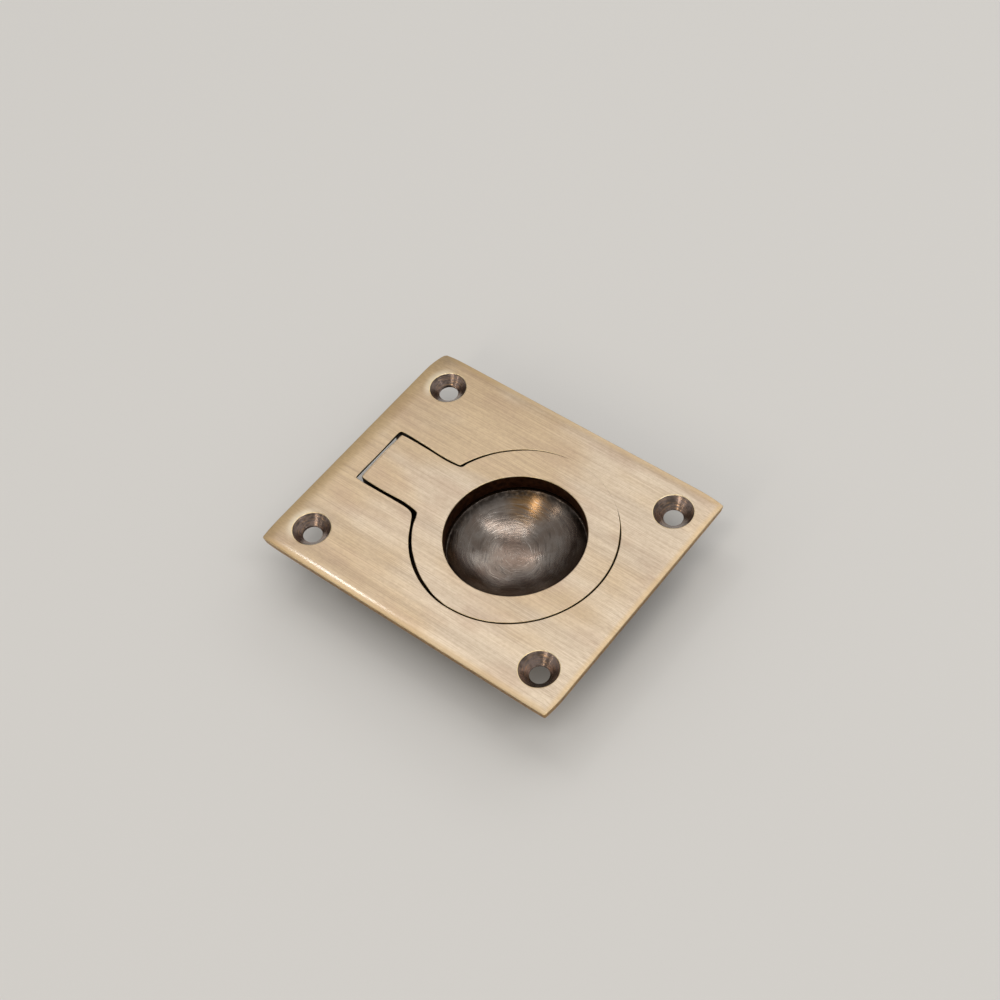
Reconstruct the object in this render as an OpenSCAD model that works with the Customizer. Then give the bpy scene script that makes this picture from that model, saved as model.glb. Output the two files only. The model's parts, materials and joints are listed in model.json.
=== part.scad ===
// Recessed ring pull: a cast brass plate that sits flush in a door or drawer,
// with a finger cup, a flush ring on a stem, and the pin that the stem turns on.
// Origin: centre of the four screw holes, on the underside that beds on the wood.
// +Z points out of the door, +X from the hinge pin to the free end of the ring.

/* [Plate] */
// Length of the plate, along the brushing
plate_l = 76; // [70:0.5:90]
// Width of the plate
plate_w = 61.6; // [58:0.2:74]
// Thickness of the plate, underside to the flat of its face
plate_t = 2.5; // [2.2:0.1:3]
// Radius of the plate's four corners
corner_r = 1.1; // [0.5:0.1:3]
// How far the face falls away at the two short ends
end_fall = 0.25; // [0.1:0.05:1]
// Width of the band over which the short ends fall away
end_roll = 4; // [2:0.1:5]
// How far the face falls away at the two long sides
side_fall = 0.2; // [0.1:0.05:1]
// Width of the band over which the long sides fall away
side_roll = 2.5; // [1.2:0.1:3]
// Slope of the plate's outer walls, which draw in towards the wood, in degrees
wall_draft = 7; // [2:1:8]

/* [Screw holes] */
// Distance of the screw holes from the plate's short ends
screw_in_x = 7.65; // [6:0.05:10]
// Distance of the screw holes from the plate's long sides
screw_in_y = 7.7; // [6:0.05:8.8]
// Diameter of the hole for the screw's shank
screw_d = 4.2; // [3.6:0.1:4.6]
// Diameter of the countersink at the face
sink_d = 8.5; // [7.6:0.1:8.7]
// Full angle of the countersink, in degrees
sink_angle = 90; // [88:1:100]

/* [Ring] */
// Distance from the plate's centre to the ring's centre
ring_x = 6.45; // [5:0.05:8]
// Radius of the finger hole through the ring
finger_r = 15.2; // [14:0.1:16]
// Width of the ring's band, finger hole to outer edge
band_w = 6.6; // [5.5:0.1:7]
// Thickness of the ring, and of the stem up to its knuckle
ring_t = 4.6; // [4.4:0.1:5.2]
// Gap between the ring and its pocket, at the face
ring_gap = 0.3; // [0.3:0.05:0.5]
// Slope of the ring's outer edge, which draws in below the face, in degrees
ring_draft = 9; // [9:1:12]
// Rounding of the finger hole's upper edge
ring_edge_r = 0.4; // [0.2:0.05:0.8]
// Rounding of the finger hole's lower edge, where the finger pulls
ring_grip_r = 1.1; // [0.6:0.1:1.6]

/* [Stem and hinge] */
// Width of the stem
stem_w = 13.7; // [12:0.1:15]
// Gap on each side of the stem
stem_gap = 0.6; // [0.4:0.05:0.8]
// Gap between the stem's end and the end of its slot, at the face
end_gap = 0.8; // [0.7:0.05:1]
// Distance from the stem's end to the short end of the plate
stem_margin = 7.6; // [7:0.1:10]
// Rounding of the pocket's corner where slot and ring meet, on the front side
neck_front_r = 1.5; // [0.6:0.1:2.5]
// Rounding of the pocket's corner where slot and ring meet, on the back side
neck_back_r = 0.6; // [0.6:0.1:2.5]
// Rounding of the ring's own corners where its stem starts
stem_neck_r = 0.6; // [0.3:0.1:0.8]
// Angle at which the stem's face meets the end of the slot, in degrees
stop_angle = 95; // [93:1:98]
// Diameter of the hinge pin
pin_d = 3; // [2.4:0.1:3.2]
// Metal between the underside of the plate and the pin's hole
pin_roof = 0.2; // [0.1:0.05:0.5]
// Radial clearance of the pin in the stem
pin_play = 0.05; // [0.03:0.01:0.08]
// Wall of the knuckle round the pin
knuckle_wall = 1.45; // [1.2:0.05:1.8]
// Thickness of the two cheeks that hold the pin
cheek_t = 3.2; // [2.5:0.1:4]
// Length of the cheeks past the end of the slot
cheek_past = 1.7; // [1.5:0.1:2.5]
// Depth of the cheeks below the plate
cheek_h = 5.8; // [5.6:0.1:7]
// Rounding of the cheeks' lower corners
cheek_r = 1.6; // [0.8:0.1:2]
// Free space round the stem's end as it swings
swing_gap = 0.4; // [0.3:0.05:0.5]

/* [Cup] */
// Depth of the finger cup below the face
cup_depth = 12; // [10:0.5:14]
// Width of the ledge that shows inside the ring's finger hole
ledge_show = 0.35; // [0.1:0.05:0.8]
// Space between the closed ring and the ledge that it rests on
seat_gap = 0.1; // [0.05:0.05:0.2]
// Wall of the cup
cup_wall = 1.8; // [1.3:0.1:2.4]
// Wall round the ring's pocket and under its ledge
pocket_wall = 2; // [1.5:0.1:2.5]
// Fillet between the cup and the ledge, underneath
cup_fillet = 2; // [1:0.5:3]

/* [Hidden] */
$fn = 96;
ARC_FN = 180;
BIG_FN = 360;
// Overshoot of a cutter past the face that it opens
CUT = 1;
// Overlap of two shapes that are joined into one
LAP = 0.5;

brass_face = "#C8B291";
brass_dark = "#6B5A48";

// Heights
face_z = plate_t;
ledge_z = face_z - ring_t - seat_gap;
pin_depth = plate_t + pin_roof + pin_d / 2;
pin_z = face_z - pin_depth;

// Screw pattern and stem, both set in from the plate's edges
screw_dx = plate_l - 2 * screw_in_x;
screw_dy = plate_w - 2 * screw_in_y;
stem_end = plate_l / 2 - stem_margin;

// Ring and pocket
ring_r = finger_r + band_w;
pocket_r = ring_r + ring_gap;
slot_w = stem_w + 2 * stem_gap;

// The stem's flat face, at pin_depth from the pin, meets the slot's end at stop_angle
slot_past_pin = pin_depth * tan(stop_angle / 2);
stem_past_pin = slot_past_pin - end_gap;
pin_x = -stem_end + stem_past_pin;
slot_end_x = pin_x - slot_past_pin;
swing_r = norm([stem_past_pin, pin_depth]) + swing_gap;
knuckle_r = pin_d / 2 + pin_play + knuckle_wall;
window_x = pin_x + knuckle_r + swing_gap;

// Cup: a ball segment whose mouth is the ledge's inner edge
mouth_r = finger_r - ledge_show;
bowl_h = cup_depth - (face_z - ledge_z);
bowl_r = (mouth_r * mouth_r + bowl_h * bowl_h) / (2 * bowl_h);
bowl_z = ledge_z - bowl_h + bowl_r;
dome_r = bowl_r + cup_wall;

// Underside boss round the pocket
boss_r = pocket_r + pocket_wall;
boss_z = ledge_z - pocket_wall;
boss_edge_r = 1;
fillet_z = boss_z - cup_fillet;
fillet_x = sqrt(pow(dome_r + cup_fillet, 2) - pow(bowl_z - fillet_z, 2));

// Circle of the shoulder arc that falls by `fall` over a band `roll` wide
function shoulder_r(fall, roll) = (roll * roll + fall * fall) / (2 * fall);

// Half the length of the plate at the underside, after the walls' draft
function drafted(size, fall) = size / 2 - (plate_t - fall) * tan(wall_draft);

// Plate seen from one side: flat face, an arc down to each edge, walls that draw in
module plate_section(size, fall, roll) {
    r = shoulder_r(fall, roll);
    rim_z = face_z - fall;
    low = drafted(size, fall);
    polygon([[-low, 0], [low, 0], [size / 2, rim_z], [size / 2 - roll, rim_z],
        [size / 2 - roll, face_z], [-size / 2 + roll, face_z],
        [-size / 2 + roll, rim_z], [-size / 2, rim_z]]);
    for (side = [-1, 1]) {
        intersection() {
            translate([side * (size / 2 - roll), face_z - r]) circle(r = r, $fn = BIG_FN);
            translate([side > 0 ? size / 2 - roll - CUT : -size / 2, rim_z]) square([roll + CUT, fall]);
        }
    }
}

// Outline of the plate with its rounded corners
module plate_outline() {
    x = plate_l / 2 - corner_r;
    y = plate_w / 2 - corner_r;
    square([2 * x, plate_w], center = true);
    square([plate_l, 2 * y], center = true);
    for (u = [-x, x], v = [-y, y]) translate([u, v]) circle(r = corner_r);
}

module plate_block() {
    intersection() {
        rotate([90, 0, 0])
            linear_extrude(plate_w + 2 * CUT, center = true) plate_section(plate_l, end_fall, end_roll);
        rotate([90, 0, 90])
            linear_extrude(plate_l + 2 * CUT, center = true) plate_section(plate_w, side_fall, side_roll);
        linear_extrude(plate_t) plate_outline();
    }
}

// One screw hole: shank hole through the plate, with a cone that opens at the face
module screw_hole() {
    cone_h = (sink_d - screw_d) / 2 / tan(sink_angle / 2);
    over_r = sink_d / 2 + CUT * tan(sink_angle / 2);
    translate([0, 0, -CUT]) cylinder(d = screw_d, h = plate_t + 2 * CUT);
    translate([0, 0, face_z - cone_h]) cylinder(r1 = screw_d / 2, r2 = over_r, h = cone_h + CUT);
}

// Rounded corner where a slot `w` wide runs into a circle of radius `r`, on one side
module neck_corner(w, r, round_r, side) {
    cy = w / 2 + round_r;
    cx = -sqrt(pow(r + round_r, 2) - cy * cy);
    inner_x = -sqrt(r * r - w * w / 4);
    mirror([0, 1 - side, 0]) difference() {
        polygon([[cx, w / 2 - LAP], [cx, cy], [cx, cy] * (r - LAP) / (r + round_r),
            [inner_x + LAP, w / 2 - LAP]]);
        translate([cx, cy]) circle(r = round_r);
    }
}

// Keyhole-shaped block, about the ring's centre: a disc and a stem with rounded necks
module keyhole(h, r, w, reach, front_r, back_r) {
    cylinder(r = r, h = h, $fn = BIG_FN);
    translate([-reach, -w / 2, 0]) cube([reach, w, h]);
    linear_extrude(h) neck_corner(w, r, front_r, -1);
    linear_extrude(h) neck_corner(w, r, back_r, 1);
}

// Revolved underside: boss round the pocket, fillet, then the dome of the cup
module cup_boss_section() {
    touch = [0, bowl_z] + [fillet_x, fillet_z - bowl_z] * dome_r / (dome_r + cup_fillet);
    translate([0, boss_z]) square([boss_r - boss_edge_r, LAP - boss_z]);
    translate([0, boss_z + boss_edge_r]) square([boss_r, LAP - boss_z - boss_edge_r]);
    translate([boss_r - boss_edge_r, boss_z + boss_edge_r]) circle(r = boss_edge_r);
    intersection() {
        translate([0, bowl_z]) circle(r = dome_r, $fn = BIG_FN);
        translate([0, bowl_z - dome_r]) square([dome_r, dome_r - bowl_z + boss_z + CUT]);
    }
    difference() {
        polygon([touch, [fillet_x, fillet_z], [fillet_x, boss_z + 0.01], [0, boss_z + 0.01],
            [0, touch[1]]]);
        translate([fillet_x, fillet_z]) circle(r = cup_fillet);
    }
}

// Cheeks under the plate on both sides of the stem, with rounded lower corners
module hinge_housing() {
    out_w = slot_w + 2 * cheek_t;
    end_x = slot_end_x - cheek_past;
    len = ring_x - fillet_x - cheek_r - end_x;
    translate([end_x, 0, -cheek_h]) intersection() {
        rotate([90, 0, 90]) linear_extrude(len) {
            translate([-out_w / 2 + cheek_r, 0]) square([out_w - 2 * cheek_r, cheek_h]);
            translate([-out_w / 2, cheek_r]) square([out_w, cheek_h + LAP - cheek_r]);
            for (v = [-1, 1]) translate([v * (out_w / 2 - cheek_r), cheek_r]) circle(r = cheek_r);
        }
        rotate([90, 0, 0]) linear_extrude(out_w + CUT, center = true) {
            translate([cheek_r, 0]) square([len - cheek_r, cheek_h]);
            translate([0, cheek_r]) square([len, cheek_h + LAP - cheek_r]);
            translate([cheek_r, cheek_r]) circle(r = cheek_r);
        }
    }
}

module backplate() {
    color(brass_face) difference() {
        union() {
            plate_block();
            translate([ring_x, 0, 0]) rotate_extrude($fn = ARC_FN) intersection() {
                cup_boss_section();
                translate([0, bowl_z - dome_r - CUT]) square([boss_r + CUT, dome_r + boss_r]);
            }
            hinge_housing();
        }
        for (u = [-1, 1], v = [-1, 1])
            translate([u * screw_dx / 2, v * screw_dy / 2, 0]) screw_hole();
        // Pocket that the closed ring and stem lie in
        translate([ring_x, 0, ledge_z])
            keyhole(ring_t + seat_gap + CUT, pocket_r, slot_w, ring_x - slot_end_x, neck_front_r, neck_back_r);
        // Finger cup
        translate([ring_x, 0, bowl_z]) sphere(r = bowl_r, $fn = BIG_FN);
        // Opening between the cheeks, through the underside
        translate([slot_end_x - cheek_past - CUT, -slot_w / 2, -cheek_h - CUT])
            cube([window_x - slot_end_x + cheek_past + CUT, slot_w, cheek_h + CUT]);
        translate([slot_end_x, -slot_w / 2, -CUT])
            cube([window_x - slot_end_x, slot_w, face_z + 2 * CUT]);
        // Relief turned about the pin, so that the stem's end swings clear
        translate([pin_x, slot_w / 2, pin_z]) rotate([90, 0, 0]) cylinder(r = swing_r, h = slot_w);
        // Hole for the pin, across both cheeks
        translate([pin_x, slot_w / 2 + cheek_t + CUT, pin_z]) rotate([90, 0, 0])
            cylinder(d = pin_d, h = slot_w + 2 * (cheek_t + CUT));
    }
}

// Ring band in section, about the ring's centre: drafted outside, rounded finger hole
module band_section() {
    low_r = ring_r - ring_t * tan(ring_draft);
    top = face_z;
    low = face_z - ring_t;
    difference() {
        polygon([[finger_r, low], [low_r, low], [ring_r, top], [finger_r, top]]);
        translate([finger_r - CUT, top - ring_edge_r]) square([ring_edge_r + CUT, ring_edge_r + CUT]);
        translate([finger_r - CUT, low - CUT]) square([ring_grip_r + CUT, ring_grip_r + CUT]);
    }
    translate([finger_r + ring_edge_r, top - ring_edge_r]) circle(r = ring_edge_r);
    translate([finger_r + ring_grip_r, low + ring_grip_r]) circle(r = ring_grip_r);
}

module ring_handle() {
    low = face_z - ring_t;
    // The stem's inner corners lie in the middle of the band
    mid_r = finger_r + (band_w - ring_t * tan(ring_draft)) / 2;
    stem_reach = sqrt(mid_r * mid_r - stem_w * stem_w / 4);
    color(brass_face) difference() {
        union() {
            translate([ring_x, 0, 0]) rotate_extrude($fn = ARC_FN) band_section();
            // Stem, from its end into the band
            translate([ring_x, 0, low]) {
                translate([-ring_x - stem_end, -stem_w / 2, 0])
                    cube([ring_x + stem_end - stem_reach, stem_w, ring_t]);
                linear_extrude(ring_t) neck_corner(stem_w, ring_r, stem_neck_r, -1);
                linear_extrude(ring_t) neck_corner(stem_w, ring_r, stem_neck_r, 1);
            }
            // Knuckle under the stem, round the pin
            translate([pin_x, stem_w / 2, pin_z]) rotate([90, 0, 0])
                cylinder(r = knuckle_r, h = stem_w);
        }
        translate([pin_x, stem_w / 2 + CUT, pin_z]) rotate([90, 0, 0])
            cylinder(r = pin_d / 2 + pin_play, h = stem_w + 2 * CUT);
    }
}

module pivot_pin() {
    pin_l = slot_w + 2 * cheek_t;
    color(brass_dark) translate([pin_x, pin_l / 2, pin_z]) rotate([90, 0, 0])
        cylinder(d = pin_d, h = pin_l);
}

backplate();
ring_handle();
pivot_pin();
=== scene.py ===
"""Look of the recessed ring pull: an antiqued brass casting, its ring and its hinge pin."""

import json
import logging
import math
from collections.abc import Callable, Sequence
from dataclasses import dataclass
from enum import Enum, IntEnum
from itertools import pairwise

import bmesh
import bpy
from mathutils import Matrix, Quaternion, Vector


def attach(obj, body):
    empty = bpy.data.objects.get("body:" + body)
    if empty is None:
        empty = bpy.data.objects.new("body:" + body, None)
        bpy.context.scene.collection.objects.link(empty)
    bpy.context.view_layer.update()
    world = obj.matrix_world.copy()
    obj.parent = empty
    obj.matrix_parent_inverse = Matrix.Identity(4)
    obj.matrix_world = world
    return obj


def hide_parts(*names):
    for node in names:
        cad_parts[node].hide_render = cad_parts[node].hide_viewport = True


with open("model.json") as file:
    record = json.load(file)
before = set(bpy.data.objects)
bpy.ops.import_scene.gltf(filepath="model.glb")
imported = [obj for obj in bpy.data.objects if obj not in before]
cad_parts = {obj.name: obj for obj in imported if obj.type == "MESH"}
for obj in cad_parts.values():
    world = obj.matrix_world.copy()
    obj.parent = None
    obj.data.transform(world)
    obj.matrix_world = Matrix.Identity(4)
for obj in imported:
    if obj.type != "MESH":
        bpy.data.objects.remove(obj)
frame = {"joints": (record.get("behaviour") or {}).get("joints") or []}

LOG = logging.getLogger("ring_pull")

# Pieces are modelled in millimetres and brought to metres when they are finished.
MM = 0.001
# Overshoot of a cutter past the face that it opens, and overlap of joined blocks, in mm
CUT = 1.0
LAP = 0.5
# The plate's length and width, and the distances between its screw holes, in mm
PLATE = (76.0, 61.6)
SCREWS = (60.7, 46.2)
# Angles at which the facets of a rubbed edge meet, from the wall up to the face
FACETS = tuple(math.radians(t) for t in (0.0, 30.0, 60.0, 90.0))

Mesh = bmesh.types.BMesh
Piece = bpy.types.Object
Material = bpy.types.Material
Point = tuple[float, float]
Spot = tuple[float, float, float]
Socket = bpy.types.NodeSocket
Value = Socket | float
Colour = Socket | tuple[float, float, float, float]


class Zone(IntEnum):
    """The finishes on the casting, in the order of its material slots."""

    FACE = 0
    PAINTED_SHADE = 1
    SINK = 2
    CUP = 3
    CAST = 4
    WALL = 5
    RUB = 6


class RingZone(IntEnum):
    """The finishes on the ring, in the order of its material slots."""

    FACE = 0
    PAINTED_SHADE = 1
    RUB = 2
    BORE = 3


class Solid(Enum):
    """How a tool is worked into a body."""

    JOIN = "UNION"
    CUT_AWAY = "DIFFERENCE"


def linear(hex_colour: str) -> tuple[float, float, float, float]:
    """Turn an sRGB hex colour into the linear colour that shaders take.

    Args:
        hex_colour: Six hex digits after a hash sign.

    Returns:
        Linear red, green and blue, with an alpha of one.
    """
    parts = [int(hex_colour[i : i + 2], 16) / 255 for i in (1, 3, 5)]
    red, green, blue = (c / 12.92 if c <= 0.04045 else ((c + 0.055) / 1.055) ** 2.4 for c in parts)
    return (red, green, blue, 1.0)


# Node helpers


def add(
    tree: bpy.types.NodeTree, kind: str, settings: dict | None = None, inputs: dict | None = None
) -> bpy.types.Node:
    """Add a node with its settings and its links.

    Args:
        tree: The material's or the world's node tree.
        kind: The node's type.
        settings: Properties of the node.
        inputs: For each input, a socket to link from or a value to set.

    Returns:
        The new node.
    """
    node = tree.nodes.new(kind)
    for name, value in (settings or {}).items():
        setattr(node, name, value)
    for name, value in (inputs or {}).items():
        if isinstance(value, Socket):
            tree.links.new(value, node.inputs[name])
        else:
            node.inputs[name].default_value = value
    return node


class Graph:
    """Node tree of one finish, with helpers that take their sizes in millimetres."""

    def __init__(self, name: str) -> None:
        """Make an empty node material of that name."""
        self.material = bpy.data.materials.new(name)
        self.material.use_nodes = True
        self.tree = self.material.node_tree
        self.tree.nodes.clear()

    def maths(self, operation: str, first: Value, second: Value = 0.0) -> Socket:
        """Add a Math node."""
        return add(self.tree, "ShaderNodeMath", {"operation": operation}, {0: first, 1: second}).outputs[0]

    def vector(self, operation: str, *operands: Socket | Sequence[float]) -> Socket:
        """Add a Vector Math node; a length comes out as a number."""
        node = add(self.tree, "ShaderNodeVectorMath", {"operation": operation}, dict(enumerate(operands)))
        return node.outputs["Value" if operation == "LENGTH" else "Vector"]

    def combine(self, x: Value = 0.0, y: Value = 0.0, z: Value = 0.0) -> Socket:
        """Join three numbers into a vector."""
        return add(self.tree, "ShaderNodeCombineXYZ", None, {"X": x, "Y": y, "Z": z}).outputs["Vector"]

    def noise(self, spot: Socket, detail: float, rough: float, seed: Value) -> Socket:
        """Add a noise of unit size; the seed picks another pattern."""
        inputs = {"Vector": spot, "W": seed, "Scale": 1.0, "Detail": detail, "Roughness": rough}
        return add(self.tree, "ShaderNodeTexNoise", {"noise_dimensions": "4D"}, inputs).outputs["Fac"]

    def grain(self, size_mm: Sequence[float], detail: float, rough: float, seed: float) -> Socket:
        """Add a noise whose blotches have a real size along X, Y and Z.

        Args:
            size_mm: Length of a blotch along each axis, in mm.
            detail: Octaves of the noise.
            rough: Weight of the finer octaves.
            seed: Fourth coordinate, which picks another pattern.

        Returns:
            The noise, from zero to one.
        """
        coords = add(self.tree, "ShaderNodeTexCoord").outputs["Object"]
        inputs = {"Vector": coords, "Scale": tuple(1 / (MM * s) for s in size_mm)}
        mapping = add(self.tree, "ShaderNodeMapping", None, inputs)
        return self.noise(mapping.outputs["Vector"], detail, rough, seed)

    def position(self, centre: Sequence[float] = (0, 0, 0)) -> tuple[Socket, Socket, Socket, Socket]:
        """Object coordinates in mm about a point.

        Args:
            centre: The point, in mm.

        Returns:
            The vector, and its X, Y and Z.
        """
        coords = add(self.tree, "ShaderNodeTexCoord").outputs["Object"]
        scaled = self.vector("MULTIPLY_ADD", coords, (1 / MM,) * 3, tuple(-c for c in centre))
        split = add(self.tree, "ShaderNodeSeparateXYZ", None, {"Vector": scaled})
        return scaled, split.outputs["X"], split.outputs["Y"], split.outputs["Z"]

    def turned(
        self, x: Value, y: Value, around: float, ring_mm: float, detail: float, seed: Value
    ) -> tuple[Socket, Socket]:
        """Add a noise drawn out round an axis, as a lathe tool's marks are.

        Args:
            x: Distance from the axis along X, in mm.
            y: The same along Y.
            around: Number of blotches in a radian.
            ring_mm: Width of a mark, in mm.
            detail: Octaves of the noise.
            seed: Number or socket that picks another pattern.

        Returns:
            The noise, and the unit vector away from the axis.
        """
        flat = self.combine(x, y)
        away = self.vector("NORMALIZE", flat)
        wide = self.vector("MULTIPLY", away, (around,) * 3)
        high = self.combine(z=self.maths("DIVIDE", self.vector("LENGTH", flat), ring_mm))
        return self.noise(self.vector("ADD", wide, high), detail, 0.6, seed), away

    def remap(self, value: Socket, span: Point, out: Point = (0.0, 1.0)) -> Socket:
        """Spread a value between two limits onto another range, with soft ends.

        Args:
            value: The socket to read.
            span: Values that become the range's two ends.
            out: The new range.

        Returns:
            The result.
        """
        inputs = {"Value": value, "From Min": span[0], "From Max": span[1], "To Min": out[0], "To Max": out[1]}
        settings = {"interpolation_type": "SMOOTHSTEP"}
        return add(self.tree, "ShaderNodeMapRange", settings, inputs).outputs["Result"]

    def near(self, centre: Spot, span: Point) -> Socket:
        """Mask that is one at a point and fades away between two distances from it, all in mm."""
        return self.remap(self.vector("LENGTH", self.position(centre)[0]), span, (1.0, 0.0))

    def tint(self, tone: Colour, mask: Value, colour: str) -> Socket:
        """Lay a colour over a tone by a mask."""
        inputs = {0: mask, 6: tone, 7: linear(colour)}
        return add(self.tree, "ShaderNodeMix", {"data_type": "RGBA"}, inputs).outputs[2]

    def layer(self, tone: Colour, noise: Socket, span: Point, most: float, colour: str) -> Socket:
        """Lay a colour over a tone where a noise is high: from where to where, and how much at most."""
        return self.tint(tone, self.remap(noise, span, (0.0, most)), colour)

    def bump(self, height: Socket, depth_mm: float, under: Socket | None = None) -> Socket:
        """Add a bump of a real depth.

        Args:
            height: Height from zero to one.
            depth_mm: What a height of one stands for, in mm.
            under: A bump that this one lies on.

        Returns:
            The normal.
        """
        inputs = {"Height": height, "Distance": depth_mm * MM, "Strength": 1.0}
        if under is not None:
            inputs["Normal"] = under
        return add(self.tree, "ShaderNodeBump", None, inputs).outputs["Normal"]

    def close(self, inputs: dict) -> Material:
        """End the tree in a Principled shader and return the material."""
        shader = add(self.tree, "ShaderNodeBsdfPrincipled", None, inputs)
        add(self.tree, "ShaderNodeOutputMaterial", None, {"Surface": shader.outputs["BSDF"]})
        return self.material

    def metal(
        self,
        colour: Colour,
        roughness: Value,
        normal: Socket,
        stretch: tuple[float, Socket] | None = None,
        lacquer: Point = (0.0, 0.2),
    ) -> Material:
        """End the tree in a metallic shader.

        Args:
            colour: Colour of the metal.
            roughness: Its roughness.
            normal: Its bump.
            stretch: Anisotropy, and the direction that the gloss is drawn out along.
            lacquer: Weight and roughness of the clear coat.

        Returns:
            The finished material.
        """
        inputs = {"Base Color": colour, "Metallic": 1.0, "Roughness": roughness, "Normal": normal}
        inputs |= {"Coat Weight": lacquer[0], "Coat Roughness": lacquer[1]}
        if stretch is not None:
            inputs |= {"Anisotropic": stretch[0], "Tangent": stretch[1]}
        return self.close(inputs)


# Finishes


@dataclass(frozen=True)
class BrushedBrass:
    """Cast brass linished lengthwise on a belt, then antiqued and lacquered satin.

    The eye sees pale beige gold with long fine lines, browner streaks where the belt
    left some of the antiquing, golden edges, and a soft sheen drawn out across the lines.
    """

    name: str = "brushed_antique_brass"
    pale: str = "#D3C0A6"
    gold: str = "#CAB08B"
    brown: str = "#8F745A"
    rosy: str = "#B2947A"
    edge: str = "#CDAB72"
    painted_halo: str = "#E8DABF"
    roughness: Point = (0.36, 0.44)
    # Length and width of the belt's lines, from the broad to the fine
    streak_mm: Point = (60.0, 2.2)
    line_mm: Point = (18.0, 0.45)
    fine_mm: Point = (14.0, 0.13)
    # Pits of the casting that the belt just left, and patches where more of the antiquing is left
    mottle_mm: Point = (0.8, 0.45)
    patch_mm: Point = (13.0, 6.0)
    cloud_mm: Point = (26.0, 11.0)
    line_depth_mm: float = 0.003
    # Painted sheen: the free end is painted paler than the hinge's end, as the light lies brighter there: gain
    # for each mm along the plate
    painted_sheen_gain: float = 0.004
    sheen: float = 0.45
    lacquer: Point = (1.0, 0.12)
    # How far in from the long sides, the free end and the hinge's end the gold begins and is full
    side_mm: Point = (1.9, 0.3)
    free_mm: Point = (1.6, 0.3)
    hinged_mm: Point = (4.5, 0.0)
    edge_weight: float = 0.5
    # Painted highlight, pale crescents of sheen: distances from a screw's axis that a crescent fades between,
    # and its ends
    painted_halo_mm: Point = (4.2, 5.9)
    painted_halo_ends: Point = (-0.95, -0.1)
    painted_halo_weight: float = 0.6

    def edges(self, graph: Graph) -> Socket:
        """Mask of the rolled edges, wide at the hinge's end."""
        _, x, y, _ = graph.position()
        end, side = PLATE[0] / 2, PLATE[1] / 2
        sides = graph.remap(graph.maths("ABSOLUTE", y), (side - self.side_mm[0], side - self.side_mm[1]))
        free = graph.remap(x, (end - self.free_mm[0], end - self.free_mm[1]))
        hinged = graph.remap(x, (self.hinged_mm[0] - end, self.hinged_mm[1] - end))
        return graph.maths("MAXIMUM", graph.maths("MAXIMUM", sides, free), hinged)

    def painted_haloes(self, graph: Graph) -> Socket:
        """Mask of the painted highlight: pale crescents beside the two countersinks at the hinge's end, where
        the dished face would catch the light.
        """
        _, x, y, _ = graph.position()
        from_x = graph.maths("ADD", x, SCREWS[0] / 2)
        from_y = graph.maths("SUBTRACT", graph.maths("ABSOLUTE", y), SCREWS[1] / 2)
        away = graph.vector("LENGTH", graph.combine(from_x, from_y))
        behind = graph.remap(graph.maths("DIVIDE", from_x, away), self.painted_halo_ends, (1.0, 0.0))
        return graph.maths("MULTIPLY", graph.remap(away, self.painted_halo_mm, (1.0, 0.0)), behind)

    def material(self) -> Material:
        """Build the material."""
        graph = Graph(self.name)
        lines, fine, streaks, mottle, clouds = (
            graph.grain((*size, size[1]), 2.0, 0.5, seed)
            for size, seed in (
                (self.line_mm, 1.3),
                (self.fine_mm, 2.9),
                (self.streak_mm, 4.1),
                (self.mottle_mm, 6.6),
                (self.cloud_mm, 8.7),
            )
        )
        patches = graph.grain((*self.patch_mm, self.patch_mm[1]), 3.0, 0.55, 3.7)
        # Pale clouds of tone, with painted sheen rising towards the free end
        rubbed = graph.maths("ADD", clouds, graph.maths("MULTIPLY", graph.position()[1], self.painted_sheen_gain))
        tone = linear(self.gold)
        for noise, span, most, colour in (
            (rubbed, (0.34, 0.62), 1.0, self.pale),
            (patches, (0.46, 0.74), 0.42, self.rosy),
            (streaks, (0.48, 0.74), 0.11, self.brown),
            (lines, (0.36, 0.7), 0.11, self.brown),
            (mottle, (0.36, 0.68), 0.18, self.brown),
            (fine, (0.4, 0.64), 0.34, self.brown),
        ):
            tone = graph.layer(tone, noise, span, most, colour)
        tone = graph.tint(tone, graph.maths("MULTIPLY", self.edges(graph), self.edge_weight), self.edge)
        # Painted highlight: pale crescents of sheen beside the hinge-end countersinks
        tone = graph.tint(tone, graph.maths("MULTIPLY", self.painted_haloes(graph), self.painted_halo_weight), self.painted_halo)
        rough = graph.remap(streaks, (0.3, 0.7), self.roughness)
        relief = graph.bump(lines, self.line_depth_mm)
        return graph.metal(tone, rough, relief, (self.sheen, graph.combine(y=1.0)), self.lacquer)


@dataclass(frozen=True)
class Layer:
    """A tone laid over the others where a noise is high."""

    tone: str
    grain_mm: Spot
    # Where the tone begins in the noise and where it is full, and its weight there
    span: Point = (0.35, 0.65)
    most: float = 1.0
    detail: float = 4.0
    rough: float = 0.6
    seed: float = 2.2


@dataclass(frozen=True)
class PlainBronze:
    """A plain antiqued surface: tones in blotches or lines, the last of which give its relief."""

    name: str
    tone: str
    roughness: float
    depth_mm: float
    layers: tuple[Layer, ...]

    def material(self) -> Material:
        """Build the material."""
        graph = Graph(self.name)
        tone = linear(self.tone)
        for layer in self.layers:
            grain = graph.grain(layer.grain_mm, layer.detail, layer.rough, layer.seed)
            tone = graph.layer(tone, grain, layer.span, layer.most, layer.tone)
        return graph.metal(tone, self.roughness, graph.bump(grain, self.depth_mm))


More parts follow.
